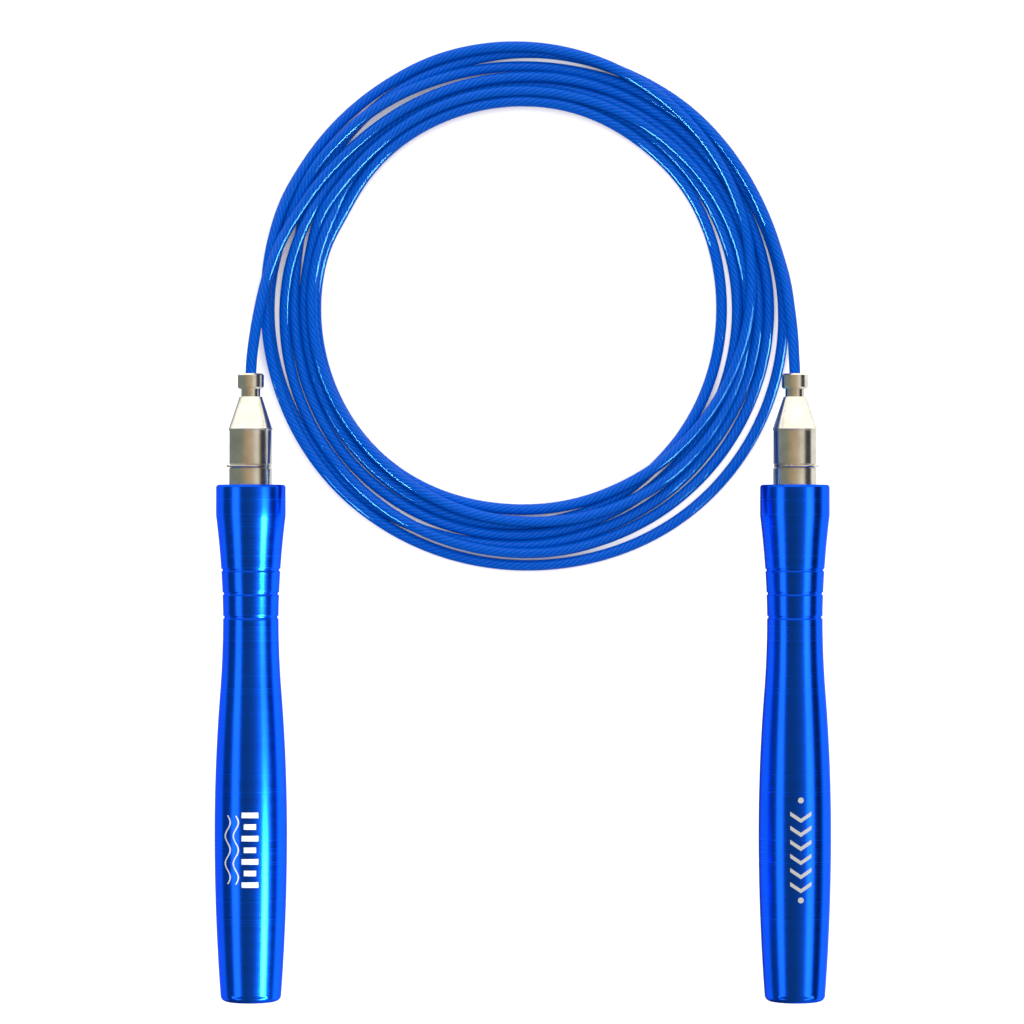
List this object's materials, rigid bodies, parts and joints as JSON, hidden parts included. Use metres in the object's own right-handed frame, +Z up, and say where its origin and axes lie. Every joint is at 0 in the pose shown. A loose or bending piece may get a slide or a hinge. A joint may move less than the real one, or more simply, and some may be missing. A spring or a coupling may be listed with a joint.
{
  "type": "jump rope",
  "caption": "Adjustable wire jump rope: two waisted anodised grips that spin on ball-bearing swivels, push-to-release cable grippers and a coated cable lying in a flat coil.",
  "frame": {"origin": "on the surface that the rope lies on, midway between the two handles, at half of their length with fittings", "axes": "+Z up from the surface; +Y along both handles, from the grip ends towards the cable coil; +X towards the right handle"},
  "size_m": [0.1926, 0.3011, 0.0226],
  "materials": {
    "anodised_grip": "polished, bright blue anodised",
    "grip_end_cap": "satin, blue anodised",
    "nickel_collar": "warm nickel plate, lightly turned",
    "nickel_gripper": "warm nickel plate, lightly turned",
    "nickel_button": "warm nickel plate",
    "nickel_carrier": "warm nickel plate",
    "washer_steel": "bright, stamped",
    "bearing_steel": "ground",
    "ball_steel": "polished",
    "brass_cage": "satin",
    "spacer_steel": "turned",
    "spindle_steel": "turned",
    "spring_steel": "dark spring steel",
    "ferrule_metal": "plain",
    "cable_coating": "clear blue coating over twisted steel wires"
  },
  "bodies": {
    "rope": {"cable_coil": "cable_coating", "left_cable_lead": "cable_coating", "right_cable_lead": "cable_coating", "left_front_bearing_inner_ring": "bearing_steel", "left_rear_bearing_inner_ring": "bearing_steel", "left_inner_spacer": "spacer_steel", "left_spindle": "spindle_steel", "left_circlip": "spring_steel", "left_thrust_washer": "washer_steel", "left_gripper_body": "nickel_gripper", "left_lock_spring": "spring_steel", "left_cable_end": "cable_coating", "left_cable_ferrule": "ferrule_metal", "right_front_bearing_inner_ring": "bearing_steel", "right_rear_bearing_inner_ring": "bearing_steel", "right_inner_spacer": "spacer_steel", "right_spindle": "spindle_steel", "right_circlip": "spring_steel", "right_thrust_washer": "washer_steel", "right_gripper_body": "nickel_gripper", "right_lock_spring": "spring_steel", "right_cable_end": "cable_coating", "right_cable_ferrule": "ferrule_metal"},
    "left_grip": {"left_handle": "anodised_grip", "left_end_cap": "grip_end_cap", "left_retaining_collar": "nickel_collar", "left_front_bearing_outer_ring": "bearing_steel", "left_rear_bearing_outer_ring": "bearing_steel", "left_outer_spacer": "spacer_steel"},
    "left_ball_train": {"left_front_bearing_balls": "ball_steel", "left_front_bearing_cage": "brass_cage", "left_rear_bearing_balls": "ball_steel", "left_rear_bearing_cage": "brass_cage"},
    "left_release": {"left_ball_carrier": "nickel_carrier", "left_release_button": "nickel_button", "left_lock_balls": "ball_steel"},
    "right_grip": {"right_handle": "anodised_grip", "right_end_cap": "grip_end_cap", "right_retaining_collar": "nickel_collar", "right_front_bearing_outer_ring": "bearing_steel", "right_rear_bearing_outer_ring": "bearing_steel", "right_outer_spacer": "spacer_steel"},
    "right_ball_train": {"right_front_bearing_balls": "ball_steel", "right_front_bearing_cage": "brass_cage", "right_rear_bearing_balls": "ball_steel", "right_rear_bearing_cage": "brass_cage"},
    "right_release": {"right_ball_carrier": "nickel_carrier", "right_release_button": "nickel_button", "right_lock_balls": "ball_steel"}
  },
  "joints": [
    {"name": "left_grip_spin", "type": "hinge", "parent": "rope", "child": "left_grip", "pos_m": [-0.085, 0, 0.0113], "axis": [0, 1, 0], "continuous": true},
    {"name": "left_ball_train_roll", "type": "hinge", "parent": "rope", "child": "left_ball_train", "pos_m": [-0.085, 0.05, 0.0113], "axis": [0, 1, 0], "continuous": true},
    {"name": "left_release_press", "type": "slide", "parent": "rope", "child": "left_release", "axis": [0, -1, 0], "range_m": [0, 0.0022], "stiffness_N_per_m": 400, "springref_m": -0.005, "deforming": ["left_lock_spring"]},
    {"name": "right_grip_spin", "type": "hinge", "parent": "rope", "child": "right_grip", "pos_m": [0.085, 0, 0.0113], "axis": [0, 1, 0], "continuous": true},
    {"name": "right_ball_train_roll", "type": "hinge", "parent": "rope", "child": "right_ball_train", "pos_m": [0.085, 0.05, 0.0113], "axis": [0, 1, 0], "continuous": true},
    {"name": "right_release_press", "type": "slide", "parent": "rope", "child": "right_release", "axis": [0, -1, 0], "range_m": [0, 0.0022], "stiffness_N_per_m": 400, "springref_m": -0.005, "deforming": ["right_lock_spring"]}
  ],
  "couplings": [
    {"joint": "left_ball_train_roll", "follows": "left_grip_spin", "ratio": 0.61111},
    {"joint": "right_ball_train_roll", "follows": "right_grip_spin", "ratio": 0.61111}
  ]
}
